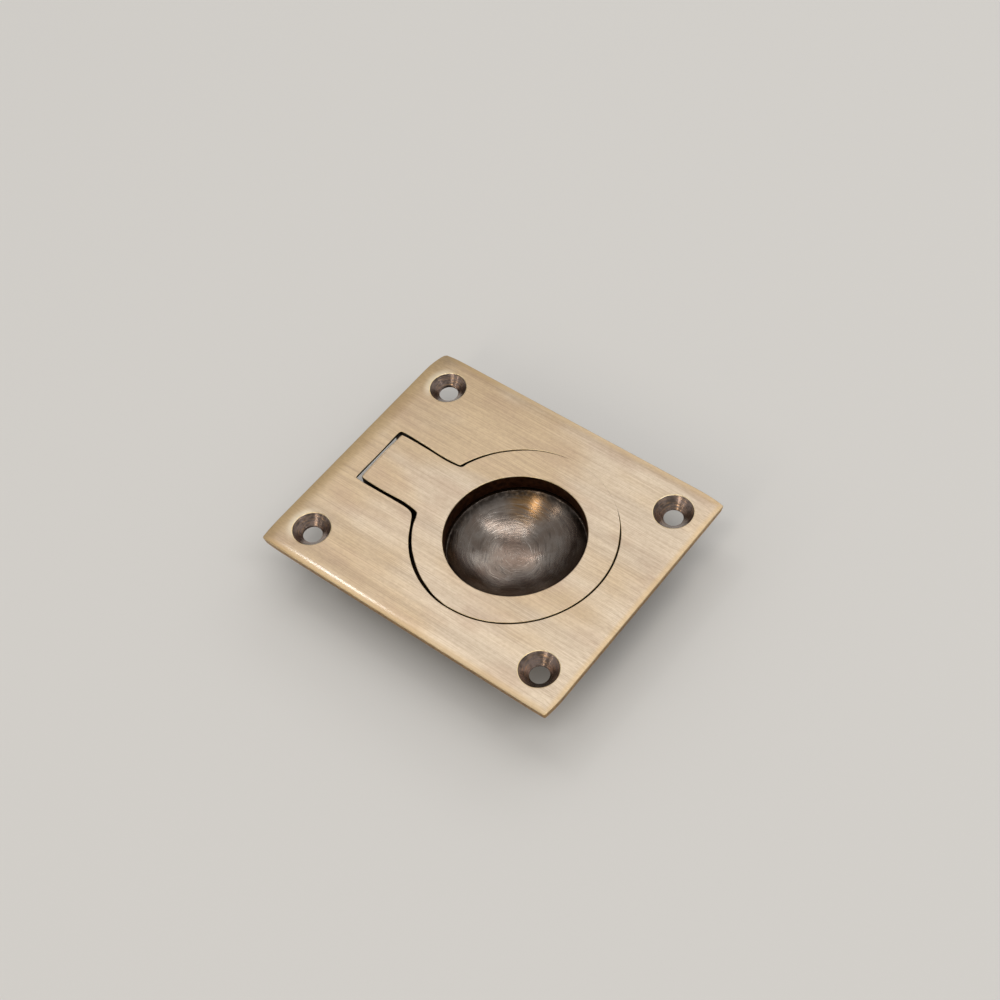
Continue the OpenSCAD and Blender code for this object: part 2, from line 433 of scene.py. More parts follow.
@dataclass(frozen=True)
class TurnedBronze:
    """Cup turned on a lathe, scoured round, then darkened.

    The eye sees gun-metal grey brown, arcs of fine bright scratches, a browner bottom that is painted shade,
    a dark band under the ledge that is cast skin and partly painted shade, and one golden patch high on the
    back where the darkening is thin.
    """

    name: str = "turned_dark_bronze"
    brown: str = "#7B6E64"
    grey: str = "#8D847C"
    copper: str = "#72594A"
    dark: str = "#2E2722"
    scratch: str = "#ACA49B"
    golden: str = "#96754E"
    # Middle that the scouring went round, a little off the axis, and how far its arcs wander
    scoured_mm: Point = (4.3, 1.1)
    wander_mm: Point = (-1.2, 1.2)
    # Middle of the browner painted shade at the cup's bottom and of the golden patch, and how far each fades
    painted_shade_at: Spot = (3.6, 1.6, -9.2)
    painted_shade_mm: Point = (1.5, 5.5)
    painted_shade_weight: float = 0.45
    patch_at: Spot = (0.4, 12.2, -4.2)
    patch_mm: Point = (2.0, 7.0)
    # The scouring didn't reach the cast skin above this height, which is darkened there partly as painted
    # shade under the ring
    skin_and_shade_mm: Point = (-4.4, -2.6)
    skin_and_shade_weight: Point = (0.45, 0.92)
    roughness: Point = (0.2, 0.26)
    mark_depth_mm: float = 0.02
    hair_depth_mm: float = 0.022
    sheen: float = 0.2

    def material(self) -> Material:
        """Build the material."""
        graph = Graph(self.name)
        _, x, y, _ = graph.position((*self.scoured_mm, 0.0))
        wander = graph.remap(graph.grain((8.0,) * 3, 2.0, 0.5, 3.3), (0.2, 0.8), self.wander_mm)
        marks, away = graph.turned(graph.maths("ADD", x, wander), y, 2.4, 0.45, 3.0, 1.7)
        hairs, _ = graph.turned(x, graph.maths("ADD", y, wander), 1.6, 0.14, 2.0, 5.9)
        clouds = graph.grain((3.5,) * 3, 4.0, 0.6, 6.1)
        warm = graph.grain((5.0,) * 3, 3.0, 0.55, 9.4)
        specks = graph.grain((0.7,) * 3, 3.0, 0.6, 2.4)
        tone = graph.layer(linear(self.brown), clouds, (0.36, 0.66), 1.0, self.grey)
        tone = graph.layer(tone, warm, (0.52, 0.74), 0.4, self.copper)
        # Painted shade: a browner, darker bottom, where the cup reflects the dark between the lights
        painted_shade_mask = graph.maths("MULTIPLY", graph.near(self.painted_shade_at, self.painted_shade_mm), self.painted_shade_weight)
        tone = graph.tint(tone, painted_shade_mask, self.copper)
        patch = graph.near(self.patch_at, self.patch_mm)
        tone = graph.tint(tone, graph.maths("MULTIPLY", patch, graph.remap(marks, (0.3, 0.62))), self.golden)
        tone = graph.layer(tone, marks, (0.5, 0.72), 0.4, self.dark)
        tone = graph.layer(tone, hairs, (0.58, 0.72), 0.7, self.scratch)
        # Dark band under the ledge: cast skin, and partly painted shade under the ring
        high = graph.remap(graph.position()[3], self.skin_and_shade_mm)
        skin_and_shade = graph.maths("MULTIPLY", high, graph.remap(specks, (0.3, 0.6), self.skin_and_shade_weight))
        tone = graph.tint(tone, skin_and_shade, self.dark)
        rough = graph.remap(clouds, (0.3, 0.7), self.roughness)
        worked = graph.bump(hairs, self.hair_depth_mm, graph.bump(marks, self.mark_depth_mm))
        return graph.metal(tone, rough, worked, (self.sheen, away))


@dataclass(frozen=True)
class SinkBronze:
    """Countersinks cut after casting and darkened.

    The eye sees grey brown cones with the rings of the cutter and copper glints.
    """

    name: str = "countersink_bronze"
    dark: str = "#675A52"
    brown: str = "#938178"
    glint: str = "#BE9A76"
    roughness: float = 0.26
    ring_mm: float = 0.2
    ring_depth_mm: float = 0.03
    sheen: float = 0.3

    def material(self) -> Material:
        """Build the material."""
        graph = Graph(self.name)
        _, x, y, _ = graph.position()
        side_x, side_y = graph.maths("SIGN", x), graph.maths("SIGN", y)
        near_x = graph.maths("SUBTRACT", x, graph.maths("MULTIPLY", side_x, SCREWS[0] / 2))
        near_y = graph.maths("SUBTRACT", y, graph.maths("MULTIPLY", side_y, SCREWS[1] / 2))
        # Each of the four holes has a pattern of its own
        seed = graph.maths("ADD", graph.maths("MULTIPLY", side_x, 3.0), side_y)
        rings, away = graph.turned(near_x, near_y, 1.3, self.ring_mm, 3.0, seed)
        clouds = graph.grain((1.5,) * 3, 3.0, 0.6, 5.5)
        tone = graph.layer(linear(self.dark), clouds, (0.38, 0.62), 1.0, self.brown)
        tone = graph.layer(tone, rings, (0.5, 0.7), 0.75, self.glint)
        return graph.metal(tone, self.roughness, graph.bump(rings, self.ring_depth_mm), (self.sheen, away))


@dataclass(frozen=True)
class PaleFloor:
    """Plain pale paper that the object lies on."""

    name: str = "pale_paper"
    tone: str = "#D6D3CE"
    roughness: float = 0.9

    def material(self) -> Material:
        """Build the material."""
        return Graph(self.name).close({"Base Color": linear(self.tone), "Roughness": self.roughness})


# Painted shade: nearly black, where the ring hides it and no light reaches
PAINTED_SHADE = PlainBronze("pocket_painted_shade", "#1E1711", 0.55, 0.04, (Layer("#3A2A1E", (0.5,) * 3),))
# Reddish brown inside the finger hole
BORE = PlainBronze("finger_hole_bronze", "#3E2618", 0.5, 0.02, (Layer("#64402A", (1.2,) * 3),))
# Golden brown where a file squared the plate's sides
WALL = PlainBronze("filed_golden_wall", "#87602C", 0.42, 0.01, (Layer("#B78C4C", (0.8,) * 3),))
# Pale gold on the edges that cloth and hand rub
RUBBED = PlainBronze("rubbed_brass_edge", "#D0B688", 0.3, 0.0, (Layer("#E4D2AC", (1.5,) * 3),))
# Rod darkened with the rest, with the lines of the drawing along it
LINES = Layer("#5A452E", (0.2, 8.0, 0.2), (0.4, 0.7), 0.5, 3.0, 0.6, 2.9)
ROD = PlainBronze("drawn_brass_rod", "#8C6E48", 0.38, 0.01, (LINES,))
# Underside as it left the sand: grainy, dull and dark
CLOUDS = Layer("#8A7350", (9.0,) * 3, (0.35, 0.66), 1.0, 3.0, 0.55, 1.1)
SAND = Layer("#5C4A36", (0.45,) * 3, (0.55, 0.75), 0.5, 4.0, 0.6, 7.7)
CAST = PlainBronze("sand_cast_bronze", "#5C4A36", 0.55, 0.12, (CLOUDS, SAND))

Finish = BrushedBrass | PlainBronze | TurnedBronze | SinkBronze


# Mesh helpers

# Facets in a full circle, from the cup and the finger hole down to the pin's bores
CUP_FACETS = 256
BOSS_FACETS = 192
RELIEF_FACETS = 128
SINK_FACETS = 96
ROD_FACETS = 64
BORE_FACETS = 48
# Meshes: distance under which vertices are one, and the angle above which an edge is sharp
WELD = 1e-5
SLIVER = 1e-4
SHARP = math.radians(40)


def arc(centre: Point, radius: float, start: float, end: float, steps: int) -> list[Point]:
    """Points along an arc from one angle to another, both in degrees, with both ends."""
    turns = [math.radians(start + (end - start) * i / steps) for i in range(steps + 1)]
    return [(centre[0] + radius * math.cos(t), centre[1] + radius * math.sin(t)) for t in turns]


def place(bm: Mesh, name: str) -> Piece:
    """Turn a bmesh into an object in the scene.

    Args:
        bm: The mesh under work, which is freed.
        name: The object's name.

    Returns:
        The object.
    """
    mesh = bpy.data.meshes.new(name)
    bm.to_mesh(mesh)
    bm.free()
    piece = bpy.data.objects.new(name, mesh)
    bpy.context.scene.collection.objects.link(piece)
    return piece


def lathe(profile: Sequence[Point], segments: int) -> Mesh:
    """Turn a profile about the vertical axis.

    Args:
        profile: Radius and height of each point, in order.
        segments: Number of facets round the axis.

    Returns:
        The closed solid.
    """
    bm = bmesh.new()
    verts = [bm.verts.new((r, 0.0, z)) for r, z in profile]
    edges = [bm.edges.new(pair) for pair in pairwise(verts)]
    bmesh.ops.spin(
        bm, geom=verts + edges, cent=(0, 0, 0), axis=(0, 0, 1), angle=math.tau, steps=segments, use_merge=True
    )
    bmesh.ops.remove_doubles(bm, verts=bm.verts, dist=WELD)
    bmesh.ops.recalc_face_normals(bm, faces=bm.faces)
    return bm


def loft(sections: Sequence[tuple[float, Sequence[Point]]]) -> Mesh:
    """Skin outlines that lie one above the other, each with the same number of points.

    Args:
        sections: Height and outline of each level, from the lowest up.

    Returns:
        The closed solid.
    """
    bm = bmesh.new()
    levels = [[bm.verts.new((x, y, z)) for x, y in outline] for z, outline in sections]
    for lower, upper in pairwise(levels):
        for i, corner in enumerate(lower):
            bm.faces.new((lower[i - 1], corner, upper[i], upper[i - 1]))
    bm.faces.new(levels[0])
    bm.faces.new(levels[-1])
    bmesh.ops.recalc_face_normals(bm, faces=bm.faces)
    return bm


def spread(outline: Sequence[Point], amounts: Sequence[float]) -> list[Point]:
    """Move each point of an anticlockwise outline outwards by its own amount.

    Args:
        outline: The points in order.
        amounts: Distance for each point, less than zero to move it inwards.

    Returns:
        The moved points.
    """
    moved = []
    for i, (x, y) in enumerate(outline):
        before, after = Vector(outline[i - 1]), Vector(outline[(i + 1) % len(outline)])
        along = (after - before).normalized()
        moved.append((x + along.y * amounts[i], y - along.x * amounts[i]))
    return moved


def glide(points: Sequence[Point], steps: int) -> list[Point]:
    """Draw a smooth curve through points, as a file follows a hand.

    Args:
        points: The points to pass through.
        steps: Chords between two of them.

    Returns:
        The curve's points, both ends included.
    """
    ends = [points[0], *points, points[-1]]
    curve = []
    for a, b, c, d in zip(ends, ends[1:], ends[2:], ends[3:]):
        for i in range(steps):
            t = i / steps
            weights = (
                -0.5 * t + t * t - 0.5 * t**3,
                1 - 2.5 * t * t + 1.5 * t**3,
                0.5 * t + 2 * t * t - 1.5 * t**3,
                -0.5 * t * t + 0.5 * t**3,
            )
            curve.append(tuple(sum(w * p[k] for w, p in zip(weights, (a, b, c, d))) for k in (0, 1)))
    return [*curve, points[-1]]


def ramp(table: Sequence[Point], at: float) -> float:
    """Read a value between the rows of a table, eased from row to row.

    Args:
        table: Positions and values, positions rising.
        at: The position to read at.

    Returns:
        The value, held at the table's ends.
    """
    for (low, first), (high, second) in pairwise(table):
        if at <= high:
            t = min(max((at - low) / (high - low), 0.0), 1.0)
            return first + (second - first) * t * t * (3 - 2 * t)
    return table[-1][1]


def grow(bm: Mesh, factors: Vector, level: Callable[[float], float]) -> None:
    """Extend a mesh's open rim by one band of faces.

    Args:
        bm: The mesh, which changes.
        factors: How much the rim is scaled about the origin on each axis; z is left to the level.
        level: Gives the new height for an old one.
    """
    rim = [edge for edge in bm.edges if edge.is_boundary]
    grown = bmesh.ops.extrude_edge_only(bm, edges=rim)["geom"]
    for vert in (g for g in grown if isinstance(g, bmesh.types.BMVert)):
        vert.co = (vert.co.x * factors.x, vert.co.y * factors.y, level(vert.co.z))


def gather(parts: Sequence[Mesh]) -> Mesh:
    """Put solids that don't touch into one bmesh.

    Args:
        parts: The solids, which are used up.

    Returns:
        The bmesh that holds them all.
    """
    whole = bmesh.new()
    for part in parts:
        mesh = bpy.data.meshes.new("part")
        part.to_mesh(mesh)
        part.free()
        whole.from_mesh(mesh)
        bpy.data.meshes.remove(mesh)
    return whole


def rod(radius: float, length: float, segments: int) -> Mesh:
    """Make a cylinder along Y, centred on the origin.

    Args:
        radius: Its radius.
        length: Its length.
        segments: Number of facets round it.

    Returns:
        The closed solid.
    """
    bm = bmesh.new()
    bmesh.ops.create_cone(bm, cap_ends=True, segments=segments, radius1=radius, radius2=radius, depth=length)
    bmesh.ops.rotate(bm, verts=bm.verts, matrix=Matrix.Rotation(math.pi / 2, 3, "X"))
    return bm


def block(low: Sequence[float], high: Sequence[float]) -> Mesh:
    """Make a box between two corners.

    Args:
        low: Lowest corner.
        high: Highest corner.

    Returns:
        The closed solid.
    """
    bm = bmesh.new()
    bmesh.ops.create_cube(bm, size=1.0)
    bmesh.ops.scale(bm, verts=bm.verts, vec=[b - a for a, b in zip(low, high)])
    bmesh.ops.translate(bm, verts=bm.verts, vec=[(a + b) / 2 for a, b in zip(low, high)])
    return bm


def shift(bm: Mesh, x: float = 0.0, y: float = 0.0, z: float = 0.0) -> Mesh:
    """Move a whole bmesh and return it."""
    bmesh.ops.translate(bm, verts=bm.verts, vec=(x, y, z))
    return bm


def bevel(bm: Mesh, edges: Sequence[bmesh.types.BMEdge], radius: float, segments: int) -> None:
    """Round edges of a bmesh."""
    bmesh.ops.bevel(bm, geom=edges, offset=radius, segments=segments, profile=0.5, affect="EDGES", material=-1)


def heading(flat: float, rise: float) -> Vector:
    """Direction from its angle about Z, from +X, and its height above the horizon, in degrees."""
    flat, rise = math.radians(flat), math.radians(rise)
    return Vector((math.cos(flat) * math.cos(rise), math.sin(flat) * math.cos(rise), math.sin(rise)))


def settle(piece: Piece) -> None:
    """Apply a piece's modifiers to its mesh."""
    graph = bpy.context.evaluated_depsgraph_get()
    done = bpy.data.meshes.new_from_object(piece.evaluated_get(graph))
    old = piece.data
    piece.modifiers.clear()
    piece.data = done
    bpy.data.meshes.remove(old)


def work(piece: Piece, bm: Mesh, how: Solid) -> None:
    """Join a tool's solid to a piece, or cut it away.

    Args:
        piece: The piece, which changes.
        bm: The tool, which is used up.
        how: Whether the tool is joined or cut away.
    """
    tool = place(bm, "tool")
    step = piece.modifiers.new("step", "BOOLEAN")
    step.operation = how.value
    step.solver = "EXACT"
    step.object = tool
    settle(piece)
    bpy.data.objects.remove(tool)


def dress(piece: Piece, finishes: Sequence[Finish], zone: Callable[[Vector, Vector], int]) -> None:
    """Give each face its finish, shade the piece and bring it to metres.

    Args:
        piece: The piece, in millimetres.
        finishes: Its finishes, in slot order.
        zone: Slot of a face, from its centre and its normal.
    """
    for finish in finishes:
        piece.data.materials.append(finish.material())
    bm = bmesh.new()
    bm.from_mesh(piece.data)
    bmesh.ops.dissolve_degenerate(bm, dist=SLIVER, edges=bm.edges)
    for face in bm.faces:
        face.material_index = int(zone(face.calc_center_median(), face.normal))
        face.smooth = True
    for edge in bm.edges:
        edge.smooth = not edge.is_manifold or edge.calc_face_angle() < SHARP
    bmesh.ops.scale(bm, verts=bm.verts, vec=(MM, MM, MM))
    bm.to_mesh(piece.data)
    bm.free()
    weighted = piece.modifiers.new("weighted", "WEIGHTED_NORMAL")
    weighted.keep_sharp = True
    weighted.weight = 80
    settle(piece)


# Sub-assemblies

# The ring was filed to its pocket by hand, so both outlines wander. Angles are about the
# ring's centre, in degrees from +X: first the pocket's radius, then the gap to the ring.
POCKET_R = (
    (-150, 22.3), (-100, 22.3), (-85, 22.16), (-30, 22.05), (20, 22.1), (60, 22.05), (85, 22.06), (112, 22.24),
    (130, 22.18), (157, 22.2),
)
RING_GAP = (
    (-153, 0.5), (-140, 0.6), (-128, 0.72), (-112, 0.62), (-100, 0.38), (-92, 0.24), (-70, 0.27), (15, 0.31),
    (30, 0.28), (42, 0.1), (52, 0.006), (93, 0.006), (112, 0.13), (135, 0.29), (156, 0.47),
)

# Filed edges of the slot and of the stem in it, from the back neck round to the front neck, in mm
SLOT_EDGE = (
    (-14.2, 8.15), (-14.4, 7.78), (-14.85, 7.6), (-16.3, 7.49), (-18.0, 7.43), (-20.5, 7.45), (-23.0, 7.62),
    (-28.0, 7.83), (-30.2, 7.83), (-30.95, 7.72), (-31.18, 7.4), (-31.28, 6.5), (-31.28, 5.0), (-31.19, 2.2),
    (-31.18, 0.0), (-31.19, -2.0), (-31.24, -5.0), (-31.23, -6.7), (-31.13, -7.2), (-30.85, -7.42),
    (-28.0, -7.53), (-24.0, -7.48), (-20.5, -7.43), (-18.0, -7.43), (-16.6, -7.52), (-15.5, -7.8),
    (-14.9, -8.17), (-14.33, -8.83), (-13.4, -10.3),
)
STEM_EDGE = (
    (-13.58, 8.0), (-13.85, 7.56), (-14.3, 7.34), (-15.0, 7.22), (-16.3, 7.08), (-18.0, 7.0), (-20.5, 7.08),
    (-23.0, 7.18), (-28.0, 7.22), (-30.0, 7.12), (-30.3, 6.96), (-30.37, 6.6), (-30.38, 5.5), (-30.56, 2.3),
    (-30.57, 0.0), (-30.53, -1.7), (-30.42, -5.0), (-30.34, -6.2), (-30.24, -6.5), (-29.9, -6.64),
    (-28.0, -6.78), (-24.0, -6.83), (-20.5, -6.7), (-18.8, -6.63), (-17.0, -6.75), (-15.5, -6.92),
    (-14.7, -7.08), (-14.2, -7.3), (-13.9, -7.75), (-13.5, -8.55),
)


@dataclass
class RingPull:
    """Sizes that the three pieces share, in millimetres, as the CAD part has them."""

    face_z: float = 2.5
    ring_x: float = 6.45
    finger_r: float = 15.2
    ring_t: float = 4.6
    seat_gap: float = 0.1
    stem_w: float = 13.7
    stem_gap: float = 0.6
    stem_end: float = 30.4
    end_gap: float = 0.8
    cheek_t: float = 3.2
    pin_d: float = 3.0
    pin_play: float = 0.05
    knuckle_wall: float = 1.45
    swing_gap: float = 0.4
    # Width of the line that cloth and hand have rubbed on an edge; it narrows where the ring's
    # gap is tight, down to the least part of its width
    rub: float = 0.16
    tight_gap: float = 0.25
    least_rub: float = 0.02
    # Chords along the round part of the pocket, and between two points of a filed edge
    arc_steps: int = 220
    file_steps: int = 4

    def __post_init__(self) -> None:
        """Take the pin's axis from the frame's joint, and work out what follows from the sizes."""
        hinge = frame["joints"][0]["pos_m"]
        self.pin_x, self.pin_z = hinge[0] / MM, hinge[2] / MM
        self.bore_r = self.pin_d / 2 + self.pin_play
        # Height of the ledge that the closed ring rests on
        self.ledge_z = self.face_z - self.ring_t - self.seat_gap
        # The stem's slot: its width, and how far its end lies from the plate's centre
        self.slot_w = self.stem_w + 2 * self.stem_gap
        self.slot_end = self.stem_end + self.end_gap
        # Inner end of the opening that the knuckle turns in
        self.window_x = self.pin_x + self.bore_r + self.knuckle_wall + self.swing_gap

    def at_pin(self, radius: float, length: float, segments: int, y: float = 0.0) -> Mesh:
        """Make a cylinder about the pin's axis."""
        return shift(rod(radius, length, segments), x=self.pin_x, y=y, z=self.pin_z)

    def gap_at(self, spot: Point) -> float:
        """Gap between the ring and its pocket in a point's direction."""
        return ramp(RING_GAP, math.degrees(math.atan2(spot[1], spot[0] - self.ring_x)))

    def pocket_arc(self, inset: bool, start: float, end: float) -> list[Point]:
        """Trace the pocket's round part, or the ring's edge inside it.

        Args:
            inset: Whether the ring's edge is wanted.
            start: First angle, in degrees.
            end: Last angle, in degrees.

        Returns:
            The points, about the plate's centre.
        """
        points = []
        for i in range(self.arc_steps + 1):
            turn = start + (end - start) * i / self.arc_steps
            radius = ramp(POCKET_R, turn) - (ramp(RING_GAP, turn) if inset else 0.0)
            t = math.radians(turn)
            points.append((self.ring_x + radius * math.cos(t), radius * math.sin(t)))
        return points

    def lip(self, outline: Sequence[Point]) -> list[float]:
        """Width of the rubbed line along an outline: less where ring and pocket nearly touch."""
        return [self.rub * min(max(self.gap_at(p) / self.tight_gap, self.least_rub), 1.0) for p in outline]

    def rubbed(self, outline: Sequence[Point], side: int) -> list[tuple[float, list[Point]]]:
        """Trace the facets of a rubbed upper edge.

        Args:
            outline: Outline of the wall below the edge.
            side: One for the pocket, which opens outwards, and minus one for the ring.

        Returns:
            Height and outline of each level, from the lowest up.
        """
        lips = self.lip(outline)
        low = self.face_z - self.rub
        return [
            (low + self.rub * math.sin(t), spread(outline, [side * w * (1 - math.cos(t)) for w in lips]))
            for t in FACETS
        ]


@dataclass
class Backplate:
    """The casting: plate, pocket, cup, cheeks and countersunk screw holes."""

    pull: RingPull
    length: float = PLATE[0]
    width: float = PLATE[1]
    end_fall: float = 0.25
    end_roll: float = 4.0
    side_fall: float = 0.2
    side_roll: float = 2.5
    wall_draft: float = 7.0
    foot: float = 0.25
    # Each corner was filed by hand: side along X and Y, plan radius, how far its tip falls away,
    # and how far it is filed back along X and Y
    corners: tuple[tuple[int, int, float, float, float, float], ...] = (
        (-1, 1, 0.7, 0.6, 0.75, 0.12),
        (1, 1, 0.2, 0.45, 0.05, 0.35),
        (1, -1, 0.22, 0.06, 0.5, 0.1),
        (-1, -1, 0.3, 0.1, 0.3, 0.2),
    )
    # How far from a corner the filing reaches, how many times further the fall does, and its curve
    corner_reach: float = 6.0
    fall_reach: float = 1.3
    fall_curve: float = 2.4
    # The slab's grid lines: parts of the band where the face falls away, and a step inside it
    band: tuple[float, ...] = (0.0, 0.09, 0.18, 0.28, 0.38, 0.5, 0.62, 0.74, 0.87, 1.0)
    band_step: float = 1.3
    shank_r: float = 2.1
    # Countersinks, drilled by eye: side along X and Y, shift along X, radius at the face
    sinks: tuple[tuple[int, int, float, float], ...] = (
        (-1, 1, 0.14, 4.14), (1, 1, 0.1, 4.33), (1, -1, 0.05, 4.28), (-1, -1, 0.18, 4.21)
    )
    sink_lip: float = 0.38
    sink_floor_r: float = 1.6
    # Depth and width of the cup's chamfered rim
    cup_rim: Point = (0.05, 0.08)
    ledge_show: float = 0.35
    cup_depth: float = 12.0
    cup_wall: float = 1.8
    pocket_r: float = 22.1
    pocket_wall: float = 2.0
    cup_fillet: float = 2.0
    cheek_past: float = 1.7
    cheek_h: float = 5.8
    cheek_r: float = 1.6
    # How far short of the ring's centre the cheeks end
    cheek_short: float = 18.0
    boss_edge_r: float = 1.0
    # Upward parts of the normals that tell level faces and rubbed edges from the rest, on the
    # plate and at a countersink; a face that looks down has less than the last
    level: float = 0.94
    rubbed: float = 0.2
    sink_level: float = 0.985
    sink_rubbed: float = 0.78
    down: float = -0.5
    # How far the countersinks reach past their shanks' holes
    sink_reach: float = 2.6
    # How far in from its rim the plate's wall can lie, along a side and at a corner, and the
    # distance from the plate's centre where the corners begin
    wall_in: Point = (0.6, 1.1)
    corner_from: float = 46.5

    def __post_init__(self) -> None:
        """Work out the plate's half sizes and the ball that the cup is cut by."""
        self.end, self.side = self.length / 2, self.width / 2
        mouth = self.pull.finger_r - self.ledge_show
        deep = self.cup_depth - (self.pull.face_z - self.pull.ledge_z)
        self.bowl_r = (mouth * mouth + deep * deep) / (2 * deep)
        self.bowl_z = self.pull.ledge_z - deep + self.bowl_r

    def lines(self, half: float, roll: float) -> list[float]:
        """Positions of the slab's grid lines, close together where the face falls away."""
        outer = [half - roll * t for t in self.band] + [half - roll - self.band_step * k for k in (1, 2, 3)]
        return [-p for p in outer] + [0.0] + outer[::-1]

    def drop(self, x: float, y: float) -> float:
        """How far the face lies below its flat at a point.

        Args:
            x: Position along the plate, in mm.
            y: Position across it, in mm.

        Returns:
            The drop, in mm.
        """
        ends = max(1 - (self.end - abs(x)) / self.end_roll, 0.0)
        sides = max(1 - (self.side - abs(y)) / self.side_roll, 0.0)
        fall = math.hypot(self.end_fall * ends**2, self.side_fall * sides**2)
        for side_x, side_y, _, tip, _, _ in self.corners:
            away = math.hypot(side_x * self.end - x, side_y * self.side - y)
            fall += tip * max(1 - away / (self.fall_reach * self.corner_reach), 0.0) ** self.fall_curve
        return fall

    def rounded(self, x: float, y: float) -> Point:
        """Draw a point of the square grid in to the plate's filed corner.

        Args:
            x: Position along the plate, in mm.
            y: Position across it, in mm.

        Returns:
            The position that the point takes.
        """
        for side_x, side_y, radius, _, back_x, back_y in self.corners:
            p = (side_x * x - self.end + radius) / radius
            q = (side_y * y - self.side + radius) / radius
            away = math.hypot(side_x * self.end - x, side_y * self.side - y)
            if p > 0 and q > 0:
                draw = max(p, q) / math.hypot(p, q)
                x = side_x * (self.end - radius + radius * p * draw)
                y = side_y * (self.side - radius + radius * q * draw)
            if away < self.corner_reach:
                pull = (1 - away / self.corner_reach) ** 2
                return x - side_x * back_x * pull, y - side_y * back_y * pull
        return x, y

    def swell(self, distance: float) -> Vector:
        """Factors on each axis that move the plate's edges out by a distance."""
        return Vector((1 + distance / self.end, 1 + distance / self.side, 1))

    def slab(self) -> Mesh:
        """Plate with drafted walls and a face that falls away to its rim."""
        top = self.pull.face_z
        across = self.lines(self.end, self.end_roll)
        along = self.lines(self.side, self.side_roll)
        bm = bmesh.new()
        bmesh.ops.create_grid(bm, x_segments=len(across) - 1, y_segments=len(along) - 1, size=0.5)
        for vert in bm.verts:
            x = across[round((vert.co.x + 0.5) * (len(across) - 1))]
            y = along[round((vert.co.y + 0.5) * (len(along) - 1))]
            x, y = self.rounded(x, y)
            vert.co = (x, y, top - self.drop(x, y))
        rub, lean = self.pull.rub, math.tan(math.radians(self.wall_draft))
        bmesh.ops.scale(bm, vec=self.swell(-rub), verts=bm.verts)
        # The rim is rubbed round in three facets, then the wall leans in down to a small chamfer
        for low, high in pairwise(FACETS):
            out, down = rub * (math.sin(high) - math.sin(low)), rub * (math.cos(low) - math.cos(high))
            grow(bm, self.swell(out), lambda z, d=down: z - d)
        grow(bm, self.swell(-lean * top), lambda z: self.foot)
        grow(bm, self.swell(-self.foot), lambda z: 0.0)
        bmesh.ops.contextual_create(bm, geom=[e for e in bm.edges if e.is_boundary])
        bmesh.ops.recalc_face_normals(bm, faces=bm.faces)
        return bm

    def boss(self) -> Mesh:
        """Round boss under the pocket, with the cup's dome below it."""
        low = self.pull.ledge_z - self.pocket_wall
        dome_r = self.bowl_r + self.cup_wall
        boss_r = self.pocket_r + self.pocket_wall
        fillet_z = low - self.cup_fillet
        reach = dome_r + self.cup_fillet
        fillet_x = math.sqrt(reach**2 - (self.bowl_z - fillet_z) ** 2)
        lean = math.degrees(math.atan2(fillet_z - self.bowl_z, fillet_x))
        profile = [(0.0, LAP), (boss_r, LAP)]
        profile += arc((boss_r - self.boss_edge_r, low + self.boss_edge_r), self.boss_edge_r, 0, -90, 6)
        profile += arc((fillet_x, fillet_z), self.cup_fillet, 90, 180 + lean, 8)
        profile += arc((0.0, self.bowl_z), dome_r, lean, -90, 40)[1:]
        return shift(lathe(profile, BOSS_FACETS), x=self.pull.ring_x)

    def cheeks(self) -> Mesh:
        """Block that the stem's slot parts into two cheeks."""
        half = self.pull.slot_w / 2 + self.pull.cheek_t
        inner = self.pull.ring_x - self.cheek_short
        bm = block((-self.pull.slot_end - self.cheek_past, -half, -self.cheek_h), (inner, half, LAP))
        lower = [
            edge for edge in bm.edges
            if all(v.co.z < 0 for v in edge.verts) and min(v.co.x for v in edge.verts) < inner - 1
        ]
        bevel(bm, lower, self.cheek_r, 6)
        return bm

    def countersinks(self) -> Mesh:
        """Right-angled cones whose rims are rubbed round, from the cone's slope to the face."""
        top, lip, floor_r = self.pull.face_z, self.sink_lip, self.sink_floor_r
        cones = []
        for side_x, side_y, slip, radius in self.sinks:
            run = lip * math.tan(math.radians(22.5))
            profile = [(0.0, top - radius + floor_r), (floor_r, top - radius + floor_r)]
            profile += arc((radius + run, top - lip), lip, 135, 90, 5)
            profile += [(radius + run, top + CUT), (0.0, top + CUT)]
            x, y = side_x * SCREWS[0] / 2 + slip, side_y * SCREWS[1] / 2
            cones.append(shift(lathe(profile, SINK_FACETS), x=x, y=y))
        return gather(cones)

    def shank_holes(self) -> Mesh:
        """Straight holes for the screws' shanks."""
        top, radius = self.pull.face_z, self.shank_r
        profile = [(0.0, -CUT), (radius, -CUT), (radius, top), (0.0, top)]
        spots = [(u * SCREWS[0] / 2, v * SCREWS[1] / 2) for u in (-1, 1) for v in (-1, 1)]
        return gather([shift(lathe(profile, ROD_FACETS), x=x, y=y) for x, y in spots])

    def pocket(self) -> Mesh:
        """Keyhole space that the ring and its stem lie in, with a rubbed upper edge."""
        pull = self.pull
        outline = pull.pocket_arc(False, POCKET_R[0][0], POCKET_R[-1][0]) + glide(SLOT_EDGE, pull.file_steps)
        sections = [(pull.ledge_z, outline), *pull.rubbed(outline, 1)]
        return loft([*sections, (pull.face_z + CUT, sections[-1][1])])

    def bowl(self) -> Mesh:
        """Ball segment that hollows the cup, up to a small chamfer at the ledge."""
        ledge = self.pull.ledge_z
        edge = math.degrees(math.asin((ledge - self.cup_rim[0] - self.bowl_z) / self.bowl_r))
        profile = arc((0.0, self.bowl_z), self.bowl_r, -90, edge, 48)
        rim = profile[-1][0] + self.cup_rim[1]
        profile += [(rim, ledge), (rim, ledge + LAP), (0.0, ledge + LAP)]
        return shift(lathe(profile, CUP_FACETS), x=self.pull.ring_x)

